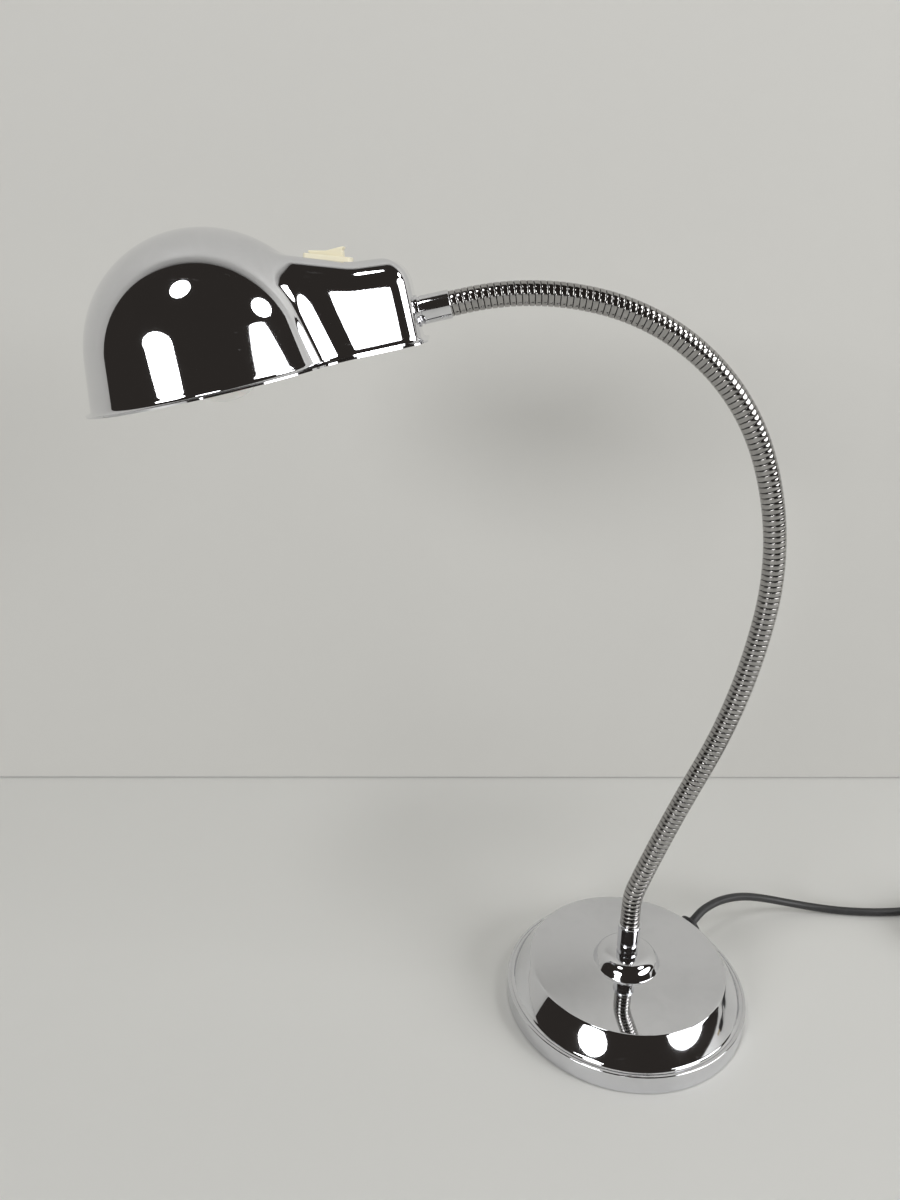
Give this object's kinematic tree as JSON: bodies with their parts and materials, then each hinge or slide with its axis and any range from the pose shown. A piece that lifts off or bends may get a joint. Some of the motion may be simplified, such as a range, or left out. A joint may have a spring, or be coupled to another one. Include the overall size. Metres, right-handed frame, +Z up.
{
  "type": "desk lamp",
  "caption": "Flexible gooseneck desk lamp with a polished keyhole-shaped shade, a rocker switch on the shade, a stepped weighted round base and a mains lead",
  "frame": {"origin": "centre of the base's underside, on the surface that the lamp stands on", "axes": "+Z up; the head reaches out over -X and the neck lies in the XZ plane; the lead leaves the base towards +X and +Y"},
  "size_m": [0.5962, 0.1681, 0.4593],
  "materials": {
    "base_chrome": "polished",
    "bare_steel": "zinc plated",
    "ballast_iron": "rough cast",
    "pad_foam": "matte",
    "ferrule_chrome": "polished",
    "hose_chrome": "polished",
    "shade_chrome": "polished",
    "lead_grey": "satin",
    "black_plastic": "matte",
    "pin_brass": "polished",
    "holder_plastic": "satin",
    "holder_sleeve_brass": "satin",
    "bulb_cap_metal": "satin",
    "bulb_insulator_black": "glossy",
    "opal_glass": "opal satin",
    "switch_cream": "semi-gloss"
  },
  "bodies": {
    "base": {"base_shell": "base_chrome", "shell_posts": "bare_steel", "ballast_weight": "ballast_iron", "base_plate": "bare_steel", "foot_pad": "pad_foam", "base_screws": "bare_steel", "cord_clamp": "black_plastic", "stem_washer": "bare_steel", "stem_nut": "bare_steel", "stem_tube": "bare_steel", "foot_ferrule": "ferrule_chrome", "neck_foot_end": "hose_chrome", "inner_flex": "lead_grey", "lead_gland": "black_plastic", "mains_lead": "lead_grey", "lead_coil": "lead_grey", "coil_tie": "black_plastic", "lead_tail": "lead_grey", "plug_body": "black_plastic", "plug_pins": "pin_brass"},
    "link_01": {"neck_link_01": "hose_chrome"},
    "link_02": {"neck_link_02": "hose_chrome"},
    "link_03": {"neck_link_03": "hose_chrome"},
    "link_04": {"neck_link_04": "hose_chrome"},
    "link_05": {"neck_link_05": "hose_chrome"},
    "link_06": {"neck_link_06": "hose_chrome"},
    "link_07": {"neck_link_07": "hose_chrome"},
    "link_08": {"neck_link_08": "hose_chrome"},
    "link_09": {"neck_link_09": "hose_chrome"},
    "link_10": {"neck_link_10": "hose_chrome"},
    "link_11": {"neck_link_11": "hose_chrome"},
    "link_12": {"neck_link_12": "hose_chrome"},
    "head": {"neck_top_end": "hose_chrome", "head_ferrule": "ferrule_chrome", "shade": "shade_chrome", "head_tube": "bare_steel", "head_nut": "bare_steel", "holder_bracket": "bare_steel", "holder_cap": "holder_plastic", "holder_body": "holder_plastic", "holder_sleeve": "holder_sleeve_brass", "holder_contact": "pin_brass", "bulb_tip": "pin_brass", "bulb_insulator": "bulb_insulator_black", "bulb_cap": "bulb_cap_metal", "bulb_glass": "opal_glass", "switch_body": "switch_cream", "switch_terminals": "pin_brass"},
    "rocker": {"rocker": "switch_cream"}
  },
  "joints": [
    {"name": "lower_bend", "type": "hinge", "parent": "base", "child": "link_01", "pos_m": [0, 0, 0.06512], "axis": [0, 1, 0], "range_deg": [-12, 12], "deforming": ["inner_flex"]},
    {"name": "lower_side", "type": "hinge", "parent": "link_01", "child": "link_02", "pos_m": [0.00871, 0, 0.10426], "axis": [0.9453, 0, -0.3262], "range_deg": [-15, 15]},
    {"name": "lower_bend_2", "type": "hinge", "parent": "link_02", "child": "link_03", "pos_m": [0.02258, 0, 0.14223], "axis": [0, 1, 0], "range_deg": [-12, 12]},
    {"name": "lower_side_2", "type": "hinge", "parent": "link_03", "child": "link_04", "pos_m": [0.03752, 0, 0.1798], "axis": [0.9368, 0, -0.3498], "range_deg": [-15, 15]},
    {"name": "lower_bend_3", "type": "hinge", "parent": "link_04", "child": "link_05", "pos_m": [0.04946, 0, 0.2184], "axis": [0, 1, 0], "range_deg": [-12, 12]},
    {"name": "arch_bend", "type": "hinge", "parent": "link_05", "child": "link_06", "pos_m": [0.05687, 0, 0.25812], "axis": [0, 1, 0], "range_deg": [-18, 10]},
    {"name": "arch_bend_2", "type": "hinge", "parent": "link_06", "child": "link_07", "pos_m": [0.0582, 0, 0.29845], "axis": [0, 1, 0], "range_deg": [-18, 10]},
    {"name": "crown_bend", "type": "hinge", "parent": "link_07", "child": "link_08", "pos_m": [0.0506, 0, 0.33808], "axis": [0, 1, 0], "range_deg": [-18, 10]},
    {"name": "crown_bend_2", "type": "hinge", "parent": "link_08", "child": "link_09", "pos_m": [0.03374, 0, 0.37467], "axis": [0, 1, 0], "range_deg": [-18, 10]},
    {"name": "head_yaw", "type": "hinge", "parent": "link_09", "child": "link_10", "pos_m": [0.00636, 0, 0.40417], "axis": [-0.6135, 0, -0.7897], "range_deg": [-20, 20]},
    {"name": "head_pitch", "type": "hinge", "parent": "link_10", "child": "link_11", "pos_m": [-0.029, 0, 0.42341], "axis": [0, 1, 0], "range_deg": [-18, 18]},
    {"name": "head_yaw_2", "type": "hinge", "parent": "link_11", "child": "link_12", "pos_m": [-0.0686, 0, 0.43088], "axis": [-0.049, 0, -0.9988], "range_deg": [-20, 20]},
    {"name": "head_pitch_2", "type": "hinge", "parent": "link_12", "child": "head", "pos_m": [-0.10875, 0, 0.42743], "axis": [0, 1, 0], "range_deg": [-18, 18]},
    {"name": "rocker", "type": "hinge", "parent": "head", "child": "rocker", "pos_m": [-0.1747, 0, 0.44528], "axis": [0, 1, 0], "range_deg": [0, 24]}
  ],
  "couplings": [
    {"joint": "lower_bend_2", "follows": "lower_bend", "ratio": 1},
    {"joint": "lower_bend_3", "follows": "lower_bend", "ratio": 1},
    {"joint": "lower_side_2", "follows": "lower_side", "ratio": 1},
    {"joint": "arch_bend_2", "follows": "arch_bend", "ratio": 1},
    {"joint": "crown_bend_2", "follows": "crown_bend", "ratio": 1},
    {"joint": "head_yaw_2", "follows": "head_yaw", "ratio": 1},
    {"joint": "head_pitch_2", "follows": "head_pitch", "ratio": 1}
  ]
}
